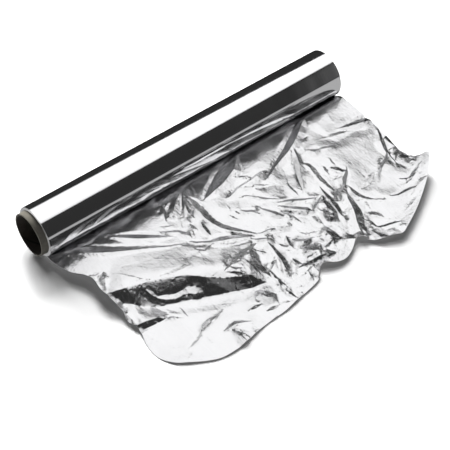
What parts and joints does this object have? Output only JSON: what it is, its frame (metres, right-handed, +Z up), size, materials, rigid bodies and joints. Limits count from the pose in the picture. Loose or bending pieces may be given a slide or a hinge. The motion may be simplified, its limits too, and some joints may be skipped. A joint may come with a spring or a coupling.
{
  "type": "aluminium foil roll",
  "caption": "Roll of household aluminium foil on a card core, lying flat, with its loose end pulled out from under the roll and crumpled.",
  "frame": {"origin": "centre of the core's bore, half way along the foil's width", "axes": "+Y along the roll's axis, +X the way the foil is pulled out, +Z up from the table it lies on"},
  "size_m": [0.1974, 0.3157, 0.0427],
  "materials": {
    "card": "matte grey-beige wound card",
    "foil": "bright rolled foil, crumpled where it is loose"
  },
  "bodies": {
    "root": {"core_tube": "card", "foil": "foil"}
  },
  "joints": []
}
